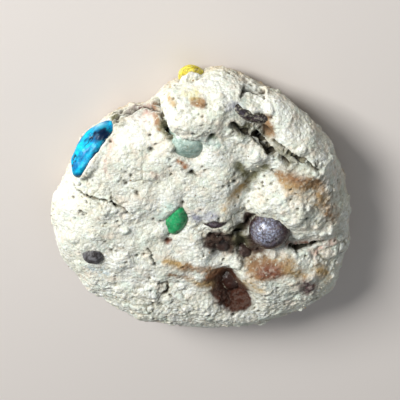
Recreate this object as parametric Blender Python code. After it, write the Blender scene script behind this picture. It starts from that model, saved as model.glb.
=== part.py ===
# A thick, scooped drop cookie, lying flat with its domed top up.
# Sugar-shelled chocolate candies and chocolate chips sit in pockets of the dough, most of them half covered.
# Lengths are in metres. The origin is the centre of the flat underside and +Z points up, out of the top.
import math
from bisect import bisect_right

import bmesh
import bpy
from mathutils import Euler, Vector, noise

MM = 0.001

# Section of the dough, from the middle of the top over the shoulder to the flat underside
THICKNESS = 17.6 * MM  # at the middle, before the lumps
WIDEST_AT = 7.2 * MM  # height of the widest ring
BASE_DROP = 2.4 * MM  # how far the round section would reach below the underside that flattens it
SHOULDER_POWER = 6.0  # higher gives a flatter top and a tighter shoulder
SIDE_POWER = 2.2
SECTION_STEPS = 300

# Radius of the widest ring every 20 degrees, anticlockwise from +X
OUTLINE = [r * MM for r in (
    37.4, 35.9, 35.2, 35.8, 37.9, 35.4, 32.9, 33.6, 34.2,
    37.4, 37.9, 38.8, 38.7, 38.0, 38.6, 40.4, 42.0, 39.6,
)]

# Notch of the outline, between the blue candy and the lobe at the back
NOTCH_AZIMUTH = math.radians(113)
NOTCH_HALF_WIDTH = math.radians(8)
NOTCH_DEPTH = 3.2 * MM

# The cage that is shaped into the dough: faces along each top edge and down its sides, and the share of the
# section that its top face takes
CAGE_FACES = 29
CAGE_ROWS = 19
CAP_SHARE = 0.42

# Lumps and hollows of the top: first end, second end, radius and height, in millimetres
LUMPS = (
    ((18, 31), (28, 18), 4.6, 3.0),  # long ridge along the back right
    ((22, 8), (24, 6), 6.2, 3.0),  # round mound on the right
    ((15, -14), (20, -13), 5.6, 2.4),  # mound in front of it
    ((-6, 30), (3, 30), 4.4, 2.0),  # pale bump at the back
    ((-26, -4), (-20, -10), 13.0, 0.9),
    ((30, -25), (27, -27), 7.0, 1.0),
    ((-12, -28), (0, -30), 8.0, 0.7),
    ((-4, 8), (2, 12), 11.0, 0.6),
    ((12, 10), (17, 15), 3.0, -1.7),  # fold from the crater up to the ridge, left of the round mound
    ((9, 1), (12, 8), 2.8, -1.3),
    ((11, -8), (12, -9), 3.4, -3.2),  # crater beside the brown candy
    ((5, -5), (6, -7), 3.2, -1.8),
    ((11.4, -2), (12.2, 2), 2.4, -1.4),  # gap on the brown candy's left
    ((17, -2), (17, -1), 6.6, -1.1),  # bed of the brown candy
    ((6.4, -17), (8.6, -22.6), 3.7, -3.8),  # burnt hollow near the front
    ((8, 20), (12, 14), 2.6, -1.3),
    ((15, 27), (16, 23), 2.6, -2.0),
    ((22, -5), (31, -6), 2.2, -1.4),
    ((-10, 30), (-8, 26), 2.8, -1.3),
    ((-4, 23), (-2, 23), 3.8, -0.9),
    ((-15, 31), (-20, 29), 3.6, -1.2),
)
LUMPS_FADE = (4 * MM, 12 * MM)  # the lumps die out down the side between these heights

# Uneven dough: size of the unevenness, its height, and where its noise is read
UNEVENNESS = (
    (13.0 * MM, 1.10 * MM, 3.1),
    (5.6 * MM, 0.95 * MM, 7.7),
    (3.0 * MM, 0.50 * MM, 12.9),
)
UNEVENNESS_FADE = (0.2 * MM, 2.5 * MM)  # the underside stays flat

# Cracks of the top: half width, depth and the points that they pass, in millimetres
CRACKS = {
    "crack_back": (0.55, 2.8, ((-10.2, 30.0), (-9.4, 29.2), (-8.6, 27.8), (-6.9, 25.9), (-5.2, 24.9))),
    "crack_left": (0.45, 1.4, ((-31, 9.4), (-28.8, 8.5), (-25.6, 8), (-22.1, 7.4), (-19.2, 5.7), (-17.4, 4))),
    "crack_ridge": (0.55, 2.2, ((8, 28.4), (9.6, 27), (12.7, 25.2), (15.8, 22), (18.6, 19.8), (21, 18))),
    "crack_fork": (0.45, 1.8, ((17.6, 23.3), (20.7, 21.5), (24.6, 19.2), (28, 16.4))),
    "crack_right": (0.7, 2.8, ((22.6, -6.4), (24.6, -7.5), (26.6, -7.1), (28.7, -6.5), (30.2, -6.3))),
    "crack_front": (0.45, 1.2, ((-10.4, -17.4), (-8.8, -18.1), (-8.3, -19.6), (-9.3, -21.2))),
}
CRACK_END_TAPER = 0.25  # half width at a crack's ends, as a share
CRACK_STEP = 1.3 * MM  # a crack turns about this often
CRACK_WANDER = 0.7  # how far it strays sideways, as a share of its step
CRACK_UNEVEN = 0.5  # how much its width changes along it, as a share

# Candies: centre, half sizes and turn, in millimetres and degrees, then the shell's finish
CANDIES = {
    "candy_blue": ((-25.4, 18.7, 11.4), (8.2, 4.4, 3.8), (-56, 23, 48), "blue_shell"),
    "candy_brown": ((17.15, -1.8, 16.4), (5.3, 5.1, 4.7), (0, 0, 20), "brown_shell"),
    "candy_green": ((-5.7, 1.9, 14.4), (6.4, 3.4, 4.2), (0, 0, 77), "green_shell"),
    "candy_mint": ((-2.9, 22.6, 12.8), (5.6, 5.2, 4.8), (0, 0, -10), "mint_shell"),
    "candy_brown_low": ((3.6, 1.6, 14.3), (4.4, 4.0, 4.2), (0, 0, 8), "brown_shell"),
    "candy_yellow": ((-2.2, 35.1, 4.8), (3.3, 2.6, 2.7), (0, 0, 4), "yellow_shell"),
    "candy_brown_ridge": ((12.2, 30.1, 12.7), (6.2, 2.4, 3.2), (0, 8, -22), "brown_shell"),
}
CANDY_SEGMENTS, CANDY_RINGS = 18, 12

# Chocolate chips, softened by the oven: centre, half sizes and turn, in millimetres and degrees
CHIPS = {
    "chip_left": ((-26.6, -9.1, 16.9), (3.0, 2.4, 2.2), (0, 8, -15)),
    "chip_hollow": ((7.4, -20.2, 11.7), (4.2, 3.8, 3.4), (0, 0, 30)),
    "chip_crater": ((10.8, -10.0, 13.5), (2.7, 2.7, 2.7), (0, 0, 0)),
    "chip_fold": ((5.2, -6.6, 14.8), (2.5, 2.7, 2.5), (0, 0, 12)),
}
CHIP_SEGMENTS, CHIP_RINGS = 14, 8
CHIP_SOFTENING = 0.12  # unevenness of a chip, as a share of its half sizes

POCKET_GAP = 0.3 * MM  # air between a candy and its pocket

# Linear colour and roughness
FINISHES = {
    "baked_dough": ((0.70, 0.64, 0.47, 1.0), 0.85),
    "blue_shell": ((0.01, 0.42, 0.78, 1.0), 0.30),
    "brown_shell": ((0.07, 0.035, 0.03, 1.0), 0.30),
    "green_shell": ((0.02, 0.30, 0.09, 1.0), 0.30),
    "mint_shell": ((0.36, 0.50, 0.42, 1.0), 0.30),
    "yellow_shell": ((0.80, 0.66, 0.05, 1.0), 0.30),
    "chocolate": ((0.045, 0.02, 0.012, 1.0), 0.45),
}


def clear_scene():
    for obj in list(bpy.data.objects):
        bpy.data.objects.remove(obj, do_unlink=True)


def make_collection(name, hidden=False):
    collection = bpy.data.collections.new(name)
    collection.hide_render = hidden
    bpy.context.scene.collection.children.link(collection)
    return collection


def make_materials():
    made = {}
    for name, (colour, roughness) in FINISHES.items():
        material = bpy.data.materials.new(name)
        material.use_nodes = True
        shader = material.node_tree.nodes["Principled BSDF"]
        shader.inputs["Base Color"].default_value = colour
        shader.inputs["Roughness"].default_value = roughness
        shader.inputs["Metallic"].default_value = 0.0
        made[name] = material
    return made


def put(name, mesh, collection):
    obj = bpy.data.objects.new(name, mesh)
    collection.objects.link(obj)
    return obj


def hide_as_cutter(obj):
    obj.hide_render = True
    obj.display_type = "WIRE"


def smoothstep(low, high, value):
    f = min(max((value - low) / (high - low), 0.0), 1.0)
    return f * f * (3 - 2 * f)


def outline_radius(azimuth):
    """Radius of the widest ring, on a smooth closed curve through the listed radii, less the notch."""
    count = len(OUTLINE)
    place = (azimuth / math.tau) % 1.0 * count
    index = int(place)
    f = place - index
    before, start, end, after = (OUTLINE[(index + k) % count] for k in (-1, 0, 1, 2))
    bend = 2 * before - 5 * start + 4 * end - after + f * (3 * (start - end) + after - before)
    away = (azimuth - NOTCH_AZIMUTH + math.pi) % math.tau - math.pi
    notch = NOTCH_DEPTH * math.exp(-((away / NOTCH_HALF_WIDTH) ** 2))
    return start + 0.5 * f * (end - before + f * bend) - notch


def section_at(angle):
    """The section as (share of the outline's radius, height), from angle 0 on the axis to pi under it."""
    share = math.sin(angle) ** (2 / SHOULDER_POWER)
    rise = abs(math.cos(angle)) ** (2 / SIDE_POWER)
    reach = THICKNESS - WIDEST_AT if angle <= math.pi / 2 else -(WIDEST_AT + BASE_DROP)
    return share, WIDEST_AT + reach * rise


def walk_section():
    """The section down to the underside, as rows of (distance walked from 0 to 1, share, height)."""
    quarter = math.pi / 2
    angles = [quarter * (i / SECTION_STEPS) ** 3 for i in range(SECTION_STEPS)]
    angles += [quarter * (1 + i / SECTION_STEPS) for i in range(SECTION_STEPS)]
    radius = sum(OUTLINE) / len(OUTLINE)
    rows = [(0.0, *section_at(0.0))]
    for angle in angles[1:]:
        walked, share, height = rows[-1]
        next_share, next_height = section_at(angle)
        ends_here = next_height < 0.0
        if ends_here:
            next_share = share + (next_share - share) * height / (height - next_height)
            next_height = 0.0
        step = math.hypot((next_share - share) * radius, next_height - height)
        rows.append((walked + step, next_share, next_height))
        if ends_here:
            break
    length = rows[-1][0]
    return [(walked / length, share, height) for walked, share, height in rows]


SECTION = walk_section()
SECTION_PLACES = [row[0] for row in SECTION]


def section_point(walked):
    """(share, height, outward normal as radial and vertical parts) at a distance from 0 to 1 along it."""
    index = min(max(bisect_right(SECTION_PLACES, walked), 1), len(SECTION) - 1)
    (start, share_a, height_a), (end, share_b, height_b) = SECTION[index - 1], SECTION[index]
    f = (walked - start) / (end - start)
    radius = sum(OUTLINE) / len(OUTLINE)
    normal = Vector((height_a - height_b, (share_b - share_a) * radius)).normalized()
    return share_a + f * (share_b - share_a), height_a + f * (height_b - height_a), normal


def distance_to_segment(x, y, start, end):
    along = Vector(end) - Vector(start)
    offset = Vector((x, y)) - Vector(start)
    f = min(max(offset.dot(along) / along.length_squared, 0.0), 1.0)
    return (offset - along * f).length


def relief(point):
    """How far the dough stands out at a point of the plain section, along its normal."""
    out = 0.0
    for start, end, radius, height in LUMPS:
        near = distance_to_segment(point.x / MM, point.y / MM, start, end) / radius
        out += height * MM * math.exp(-near * near)
    out *= smoothstep(*LUMPS_FADE, point.z)
    uneven = 0.0
    for size, height, offset in UNEVENNESS:
        uneven += height * noise.noise(point / size + Vector((offset, -offset, offset)))
    return out + uneven * smoothstep(*UNEVENNESS_FADE, point.z)


def top_height(x, y):
    """Height of the dough's top over a point of the plan."""
    share = min(math.hypot(x, y) / outline_radius(math.atan2(y, x)), 0.99)
    rise = (1 - share**SHOULDER_POWER) ** (1 / SIDE_POWER)
    height = WIDEST_AT + (THICKNESS - WIDEST_AT) * rise
    return height + relief(Vector((x, y, height)))


def cage_direction(a, b):
    """(azimuth, distance from the middle from 0 to 1) of a point of the square cage, drawn round."""
    if a == b == 0.0:
        return 0.0, 0.0
    if abs(a) >= abs(b):
        return math.pi / 4 * b / a + (math.pi if a < 0 else 0.0), abs(a)
    return math.pi / 2 - math.pi / 4 * a / b + (math.pi if b < 0 else 0.0), abs(b)


def shape_cage_point(point):
    azimuth, ring = cage_direction(point.x, point.y)
    outward = Vector((math.cos(azimuth), math.sin(azimuth), 0.0))
    under = point.z < -0.999
    if under:
        return outward * (ring * SECTION[-1][1] * outline_radius(azimuth))
    on_top = point.z > 0.999
    walked = ring * CAP_SHARE if on_top else CAP_SHARE + (1 - point.z) / 2 * (1 - CAP_SHARE)
    share, height, normal = section_point(walked)
    plain = outward * (share * outline_radius(azimuth)) + Vector((0.0, 0.0, height))
    return plain + (outward * normal.x + Vector((0.0, 0.0, normal.y))) * relief(plain)


def make_dough(collection):
    """A finely divided cube, its rings drawn into the cookie's section and pushed out by the relief."""
    bm = bmesh.new()
    bmesh.ops.create_cube(bm, size=2.0)
    upright = [edge for edge in bm.edges if edge.verts[0].co.z != edge.verts[1].co.z]
    level = [edge for edge in bm.edges if edge not in upright]
    bmesh.ops.subdivide_edges(bm, edges=level, cuts=CAGE_FACES - 1, use_grid_fill=True)
    upright = [edge for edge in bm.edges if edge.verts[0].co.z != edge.verts[1].co.z]
    bmesh.ops.subdivide_edges(bm, edges=upright, cuts=CAGE_ROWS - 1, use_grid_fill=True)
    for vert in bm.verts:
        vert.co = shape_cage_point(vert.co)
    under = [face for face in bm.faces if all(vert.co.z == 0.0 for vert in face.verts)]
    bmesh.ops.dissolve_faces(bm, faces=under, use_verts=True)
    bmesh.ops.recalc_face_normals(bm, faces=bm.faces[:])
    mesh = bpy.data.meshes.new("dough")
    bm.to_mesh(mesh)
    bm.free()
    mesh.shade_smooth()
    return put("dough", mesh, collection)


def make_rounded(name, collection, spec, segments, rings, softening=0.0, grown=0.0):
    """A candy or a chip: a sphere stretched to its half sizes, softened by noise, and turned into place."""
    centre, half_sizes, turn = spec[:3]
    bpy.ops.mesh.primitive_uv_sphere_add(segments=segments, ring_count=rings, radius=1.0)
    obj = bpy.context.object
    obj.name = name
    for vert in obj.data.vertices:
        vert.co *= 1 + softening * noise.noise(vert.co * 1.3 + Vector(centre))
        vert.co = Vector([c * (half * MM + grown) for c, half in zip(vert.co, half_sizes)])
    obj.data.name = name
    obj.data.shade_smooth()
    obj.location = Vector(centre) * MM
    obj.rotation_euler = Euler([math.radians(angle) for angle in turn])
    for owner in list(obj.users_collection):
        owner.objects.unlink(obj)
    collection.objects.link(obj)
    return obj


def wandering_route(points):
    """Places along the crack about one step apart, each a little to one side."""
    stops = [Vector((x, y, 0.0)) * MM for x, y in points]
    route = [stops[0]]
    for start, end in zip(stops, stops[1:]):
        count = max(round((end - start).length / CRACK_STEP), 1)
        across = (end - start).normalized().cross(Vector((0.0, 0.0, 1.0)))
        for place in range(1, count + 1):
            spot = start.lerp(end, place / count)
            route.append(spot + across * CRACK_WANDER * CRACK_STEP * noise.noise(spot / CRACK_STEP))
    return route


def make_crack_cutter(name, collection, half_width, depth, points):
    """A tapering four-sided tube along the crack, stretched down to its depth and draped on the top."""
    route = wandering_route(points)
    curve = bpy.data.curves.new(name, "CURVE")
    curve.dimensions = "3D"
    curve.bevel_depth = half_width * MM
    curve.bevel_resolution = 0
    curve.use_fill_caps = True
    spline = curve.splines.new("POLY")
    spline.points.add(len(route) - 1)
    for place, spot in enumerate(route):
        inner = math.sin(math.pi * place / (len(route) - 1))
        uneven = 1 + CRACK_UNEVEN * noise.noise(spot / CRACK_STEP)
        spline.points[place].co = (*spot, 1.0)
        spline.points[place].radius = (CRACK_END_TAPER + (1 - CRACK_END_TAPER) * inner) * uneven
    tube = put(name + "_tube", curve, collection)
    bpy.context.view_layer.update()
    mesh = bpy.data.meshes.new_from_object(tube.evaluated_get(bpy.context.evaluated_depsgraph_get()))
    bpy.data.objects.remove(tube)
    bm = bmesh.new()
    bm.from_mesh(mesh)
    bmesh.ops.remove_doubles(bm, verts=bm.verts[:], dist=0.01 * MM)
    for vert in bm.verts:
        vert.co.z = top_height(vert.co.x, vert.co.y) + vert.co.z * depth / half_width
    bmesh.ops.recalc_face_normals(bm, faces=bm.faces[:])
    bm.to_mesh(mesh)
    bm.free()
    return put(name, mesh, collection)


def cut_dough(dough, cutters):
    cut = dough.modifiers.new("pockets and cracks", "BOOLEAN")
    cut.operation = "DIFFERENCE"
    cut.operand_type = "COLLECTION"
    cut.collection = cutters
    cut.solver = "EXACT"


def main():
    clear_scene()
    cookie = make_collection("cookie")
    cutters = make_collection("cutters", hidden=True)
    materials = make_materials()

    dough = make_dough(cookie)
    dough.data.materials.append(materials["baked_dough"])
    for name, spec in CANDIES.items():
        candy = make_rounded(name, cookie, spec, CANDY_SEGMENTS, CANDY_RINGS)
        candy.data.materials.append(materials[spec[3]])
        pocket = make_rounded(name + "_pocket", cutters, spec, CANDY_SEGMENTS, CANDY_RINGS, grown=POCKET_GAP)
        hide_as_cutter(pocket)
    for name, spec in CHIPS.items():
        chip = make_rounded(name, cookie, spec, CHIP_SEGMENTS, CHIP_RINGS, CHIP_SOFTENING)
        chip.data.materials.append(materials["chocolate"])
        pocket = make_rounded(
            name + "_pocket", cutters, spec, CHIP_SEGMENTS, CHIP_RINGS, CHIP_SOFTENING, POCKET_GAP
        )
        hide_as_cutter(pocket)
    for name, (half_width, depth, points) in CRACKS.items():
        hide_as_cutter(make_crack_cutter(name, cutters, half_width, depth, points))
    cut_dough(dough, cutters)


main()
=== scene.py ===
# A thick drop cookie with sugar-shelled candies and chocolate chips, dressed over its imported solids.
# Lengths in the dictionaries are millimetres, and angles are degrees.
import math
import random

import bmesh
import bpy
import numpy as np
from mathutils import Euler, Matrix, Vector, noise
from mathutils.bvhtree import BVHTree


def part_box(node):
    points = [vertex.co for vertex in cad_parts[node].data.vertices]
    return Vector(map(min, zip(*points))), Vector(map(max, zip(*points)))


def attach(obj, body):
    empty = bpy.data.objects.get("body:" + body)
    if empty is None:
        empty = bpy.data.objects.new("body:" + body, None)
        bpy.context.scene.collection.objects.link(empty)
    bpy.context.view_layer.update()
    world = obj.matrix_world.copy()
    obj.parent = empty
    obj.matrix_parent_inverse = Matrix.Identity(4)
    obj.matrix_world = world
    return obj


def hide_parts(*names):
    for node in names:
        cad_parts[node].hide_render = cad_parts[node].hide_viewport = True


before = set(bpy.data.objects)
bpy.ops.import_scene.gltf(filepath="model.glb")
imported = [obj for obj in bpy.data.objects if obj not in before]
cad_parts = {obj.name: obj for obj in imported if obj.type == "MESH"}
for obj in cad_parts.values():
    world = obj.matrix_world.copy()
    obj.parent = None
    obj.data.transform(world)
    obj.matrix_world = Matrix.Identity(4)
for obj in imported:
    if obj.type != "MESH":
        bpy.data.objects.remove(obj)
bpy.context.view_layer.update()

mm = 0.001
print("frame loaded")


# Small helpers

def linear(red, green, blue):
    # an sRGB colour, 0 to 255, as Blender's linear RGBA
    parts = []
    for value in (red, green, blue):
        share = value / 255
        parts.append(share / 12.92 if share <= 0.04045 else ((share + 0.055) / 1.055) ** 2.4)
    return (*parts, 1.0)


def smoothstep(low, high, value):
    share = np.clip((value - low) / (high - low), 0.0, 1.0)
    return share * share * (3 - 2 * share)


def bell(away):
    # 1 in the middle, fading out over about two radii
    return np.exp(-np.clip(away, 0, 9) ** 2)


def noiseField(points, size, seed):
    # smooth noise from about -1 to 1 at every point, with lumps about as large as size
    shift = Vector((seed, seed * 1.7, -seed))
    return np.array([noise.noise(Vector(point) / size + shift) for point in points])


def wander(points, size, seeds):
    # one noise field for each axis
    return np.stack([noiseField(points, size, seed) for seed in seeds], axis=1)


def cellField(points, size, seed):
    # distances to the nearest two of scattered cell centres, in shares of size
    shift = Vector((seed, seed * 1.7, -seed))
    nearest = [noise.voronoi(Vector(point) / size + shift)[0][:2] for point in points]
    return np.array(nearest).T


def segmentDistance(points, start, end):
    start, end = np.array(start, float), np.array(end, float)
    along = end - start
    share = np.clip((points - start) @ along / (along @ along), 0.0, 1.0)
    return np.linalg.norm(points - start - share[:, None] * along, axis=1)


def polylineDistance(points, stops):
    return np.min([segmentDistance(points, start, end) for start, end in zip(stops, stops[1:])], axis=0)


def meshArrays(mesh):
    # vertex places and normals in millimetres, and the edges
    places = np.empty(len(mesh.vertices) * 3)
    mesh.vertices.foreach_get("co", places)
    normals = np.empty(len(mesh.vertices) * 3)
    mesh.vertex_normals.foreach_get("vector", normals)
    edges = np.empty(len(mesh.edges) * 2, int)
    mesh.edges.foreach_get("vertices", edges)
    return places.reshape(-1, 3) / mm, normals.reshape(-1, 3), edges.reshape(-1, 2)


def setPlaces(mesh, places):
    mesh.vertices.foreach_set("co", (places * mm).astype(np.float32).ravel())
    mesh.update()


def relaxed(places, edges, rounds, share=0.5):
    # each point drawn towards the mean of its neighbours
    count = np.bincount(edges.ravel(), minlength=len(places))[:, None]
    for _ in range(rounds):
        total = np.zeros_like(places)
        for axis in range(3):
            total[:, axis] = np.bincount(edges[:, 0], places[edges[:, 1], axis], len(places))
            total[:, axis] += np.bincount(edges[:, 1], places[edges[:, 0], axis], len(places))
        places = places + share * (total / np.maximum(count, 1) - places)
    return places


def addMasks(mesh, **masks):
    for name, values in masks.items():
        layer = mesh.attributes.new(name, "FLOAT", "POINT")
        layer.data.foreach_set("value", np.clip(values, 0.0, 1.0).astype(np.float32))


def addColours(mesh, name, colours):
    layer = mesh.attributes.new(name, "FLOAT_COLOR", "POINT")
    layer.data.foreach_set("color", colours.astype(np.float32).ravel())


def findPlace(spec):
    # keeps the middle of a sunk piece, in millimetres, and its turn beside its sizes
    low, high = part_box(spec["node"])
    spec["middle"] = (Vector(low) + Vector(high)) / 2 / mm
    spec["axes"] = Euler([math.radians(angle) for angle in spec["turn"]]).to_matrix()


def ballShape(detail):
    # places on a ball of radius 1 and its triangles
    bm = bmesh.new()
    bmesh.ops.create_icosphere(bm, subdivisions=detail, radius=1.0)
    shape = bmeshShape(bm)
    bm.free()
    return shape


def bmeshShape(bm):
    bmesh.ops.triangulate(bm, faces=bm.faces[:])
    bm.verts.ensure_lookup_table()
    bm.verts.index_update()
    places = np.array([vert.co[:] for vert in bm.verts])
    return places, np.array([[vert.index for vert in face.verts] for face in bm.faces])


def joinedMesh(name, shapes):
    # one mesh of many (places in millimetres, triangles)
    starts = np.cumsum([0] + [len(places) for places, _ in shapes])
    places = np.concatenate([places for places, _ in shapes]) * mm
    faces = np.concatenate([faces + start for (_, faces), start in zip(shapes, starts)])
    mesh = bpy.data.meshes.new(name)
    mesh.from_pydata(places.tolist(), [], faces.tolist())
    return mesh


def makePiece(name, mesh, node=None):
    piece = bpy.data.objects.new(name, mesh)
    bpy.context.scene.collection.objects.link(piece)
    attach(piece, "root")
    if node:
        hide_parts(node)
    return piece


# What is sunk in the dough, at its solids' sizes.
# buried: directions in which dough lies over a piece, and where that starts, as a cosine of the angle to the
# direction or, with cutLength, in shares of that length. ragged and feather: that edge's waver and softness.
# socket and dip: how far out the dough round a piece sinks, and how deep.
# dent, crackSize and crackWidth: the unevenness of its shell.
# the dark and pale spots: painted shade and painted highlights on its shell, as place, radius and strength.

blueCandy = {
    "name": "blueCandy", "node": "candy_blue", "slot": "blue_shell", "seed": 4.1,
    "halfSizes": (8.2, 4.4, 3.8), "turn": (-56, 23, 48), "dent": 0.34, "crackSize": 1.5, "crackWidth": 0.13,
    "buried": (((0.79, -0.50, 0.35), 0.34),), "cutLength": 4.0, "ragged": 0.05, "feather": 0.04,
    "blots": (((4.3, -1.6, 3.0), 1.9, 1.4), ((3.0, 0.3, 3.5), 0.7, 1.2), ((0.4, 1.2, 3.6), 0.6, 0.8),
              ((-7.6, -0.9, 0.6), 0.9, 0.8)),
    "caps": (((5.4, 1.6, 2.5), 1.2, 0.75), ((4.9, 2.9, 1.7), 1.1, 0.8)),
}
brownCandy = {
    "name": "brownCandy", "node": "candy_brown", "slot": "brown_shell", "seed": 8.3,
    "halfSizes": (5.3, 5.1, 4.7), "turn": (0, 0, 20), "dent": 0.12, "crackSize": 1.9, "crackWidth": 0.05,
    "socket": (0.6, 2.4), "dip": 1.7,
}
greenCandy = {
    "name": "greenCandy", "node": "candy_green", "slot": "green_shell", "seed": 12.9,
    "halfSizes": (6.4, 3.4, 4.2), "turn": (0, 0, 77), "dent": 0.20, "crackSize": 2.0, "crackWidth": 0.05,
}
mintCandy = {
    "name": "mintCandy", "node": "candy_mint", "slot": "mint_shell", "seed": 17.2,
    "halfSizes": (5.6, 5.2, 4.8), "turn": (0, 0, -10), "dent": 0.24, "crackSize": 1.8, "crackWidth": 0.07,
}
lowBrownCandy = {
    "name": "lowBrownCandy", "node": "candy_brown_low", "slot": "brown_shell", "seed": 21.6,
    "halfSizes": (4.4, 4.0, 4.2), "turn": (0, 0, 8), "dent": 0.18, "crackSize": 1.8, "crackWidth": 0.09,
    "buried": (((0.4, 1, 0), 0.16), ((-0.4, 1, 0), 0.16), ((0.4, -1, 0), 0.56), ((-0.4, -1, 0), 0.56)),
    "cutLength": 4.0, "ragged": 0.10, "feather": 0.10,
}
ridgeCandy = {
    "name": "ridgeCandy", "node": "candy_brown_ridge", "slot": "brown_shell", "seed": 26.4,
    "halfSizes": (6.2, 2.4, 3.2), "turn": (0, 8, -22), "dent": 0.18, "crackSize": 1.3, "crackWidth": 0.14,
    "buried": (((0.25, 0.95, 0.1), 0.46),), "ragged": 0.10, "feather": 0.16,
}
yellowCandy = {
    "name": "yellowCandy", "node": "candy_yellow", "slot": "yellow_shell", "seed": 30.8,
    "halfSizes": (3.3, 2.6, 2.7), "turn": (0, 0, 4), "dent": 0.20, "crackSize": 1.6, "crackWidth": 0.06,
    "buried": (((0.15, -0.35, 0.92), 0.40),), "ragged": 0.16, "feather": 0.12,
}
candies = (blueCandy, brownCandy, greenCandy, mintCandy, lowBrownCandy, ridgeCandy, yellowCandy)

leftChip = {
    "name": "leftChip", "node": "chip_left", "seed": 3.3,
    "halfSizes": (3.0, 2.4, 2.2), "turn": (0, 8, -15),
}
hollowChip = {
    "name": "hollowChip", "node": "chip_hollow", "seed": 6.6,
    "halfSizes": (4.2, 3.8, 3.4), "turn": (0, 0, 30),
}
craterChip = {
    "name": "craterChip", "node": "chip_crater", "seed": 9.9,
    "halfSizes": (2.7, 2.7, 2.7), "turn": (0, 0, 0),
}
foldChip = {
    "name": "foldChip", "node": "chip_fold", "seed": 13.2,
    "halfSizes": (2.5, 2.7, 2.5), "turn": (0, 0, 12),
}
chips = (leftChip, hollowChip, craterChip, foldChip)

for spec in candies + chips:
    findPlace(spec)


# The dough: its solid with the pockets filled and crumbs stuck on, drawn over with one fine skin

crust = {
    "voxel": 0.32,  # size of the skin's faces
    "plugGrowth": 0.36,  # how far a pocket's filling passes the candy, to close the gap round it
    "crumbs": 2600,  # lumps stuck on before the skin is drawn
    "crumbSizes": (0.35, 1.8),
    "crumbFlatness": (0.35, 0.75),
    "crumbSink": (0.15, 0.75),  # how deep a crumb's middle lies, in shares of its own thickness
    "smoothKept": 0.3,  # the share of crumbs that stay where the crust is smooth
    "underside": 1.6,  # nothing sticks out below this height
    "socket": (0.42, 0.90),  # gap over which the skin dips round a candy or chip
    "dip": 0.95,
    "seed": 11,
}

# Where the crust is crumbly, as lines seen from above and how far from them: the rest is smoother

crumblyZones = (
    ((9, 30), (28, 14), 6.0), ((-24, -20), (4, -29), 8.0), ((4, -29), (27, -22), 8.0),
    ((31, 10), (33, -14), 6.0), ((3, -4), (14, -10), 5.0), ((-24, 28), (-8, 31), 4.0),
    ((-9, 28), (5, 25), 2.6), ((-30, 12), (-17, 4), 3.0), ((17, 9), (28, 3), 6.5), ((-6, 32), (4, 31), 3.5),
)


def crumbliness(points):
    # 0 on smooth crust to 1 on crumbly crust, and crumbly all round the side
    amount = 1 - smoothstep(7.0, 12.0, points[:, 2])
    for start, end, radius in crumblyZones:
        amount = np.maximum(amount, bell(segmentDistance(points[:, :2], start, end) / radius))
    return amount


def stuckCrumbs(solid, spec):
    draw = random.Random(spec["seed"])
    triangles = [p for p in solid.polygons if p.center.z > spec["underside"] * mm]
    areas = np.cumsum([p.area for p in triangles])
    small, large = spec["crumbSizes"]
    ball, faces = ballShape(2)
    made = []
    for _ in range(spec["crumbs"]):
        face = triangles[int(np.searchsorted(areas, draw.random() * areas[-1]))]
        shares = [draw.random() for _ in face.vertices]
        corners = [solid.vertices[v].co * s for v, s in zip(face.vertices, shares)]
        spot = sum(corners, Vector()) / sum(shares)
        size = small * (large / small) ** (draw.random() ** 2.2)
        flat = draw.uniform(*spec["crumbFlatness"])
        spin = Matrix.Rotation(draw.uniform(0, math.tau), 3, "Z")
        turn = face.normal.to_track_quat("Z", "Y").to_matrix() @ spin
        turn = Matrix.Rotation(draw.gauss(0, 0.25), 3, "X") @ turn
        halfSizes = np.array((size * draw.uniform(0.7, 1.2), size * draw.uniform(0.55, 1.0), size * flat))
        middle = spot / mm - face.normal * halfSizes[2] * draw.uniform(*spec["crumbSink"])
        rough = 1 + 0.45 * noiseField(ball, 0.7, draw.uniform(0, 90))
        kept = spec["smoothKept"] + (1 - spec["smoothKept"]) * crumbliness(np.array([middle]))[0]
        wanted = draw.random() < kept
        if wanted and middle.z > spec["underside"] + size and not insideAnySunk(middle, 0.5 * size):
            made.append(((ball * rough[:, None] * halfSizes) @ np.array(turn).T + np.array(middle), faces))
    return made


def sunkGap(points, spec):
    # how far points are outside a sunk piece, measured from its middle
    local = (points - np.array(spec["middle"])) @ np.array(spec["axes"])
    share = np.linalg.norm(local / np.array(spec["halfSizes"]), axis=1)
    return np.linalg.norm(local, axis=1) * (1 - 1 / np.maximum(share, 0.01))


def insideAnySunk(point, margin):
    spot = np.array([point])
    return any(sunkGap(spot, spec)[0] < margin for spec in candies + chips)


def drawSkin():
    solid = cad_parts["dough"].data
    bm = bmesh.new()
    bm.from_mesh(solid)
    bmesh.ops.remove_doubles(bm, verts=bm.verts[:], dist=0.0005 * mm)
    places, faces = bmeshShape(bm)
    bm.free()
    shapes = [(places / mm, faces)] + stuckCrumbs(solid, crust)
    ball, faces = ballShape(4)
    for spec in candies + chips:
        plug = (ball * (np.array(spec["halfSizes"]) + crust["plugGrowth"])) @ np.array(spec["axes"]).T
        shapes.append((plug + np.array(spec["middle"]), faces))
    cage = bpy.data.objects.new("crustCage", joinedMesh("crust", shapes))
    bpy.context.scene.collection.objects.link(cage)
    skin = cage.modifiers.new("skin", "REMESH")
    skin.mode = "VOXEL"
    skin.voxel_size = crust["voxel"] * mm
    skin.adaptivity = 0.0
    bpy.context.view_layer.update()
    graph = bpy.context.evaluated_depsgraph_get()
    mesh = bpy.data.meshes.new_from_object(cage.evaluated_get(graph))
    bpy.data.objects.remove(cage)
    return mesh


# Cracks of the top: half width, depth, the points that they pass seen from above, and how much painted shade
# darkens them inside

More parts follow.
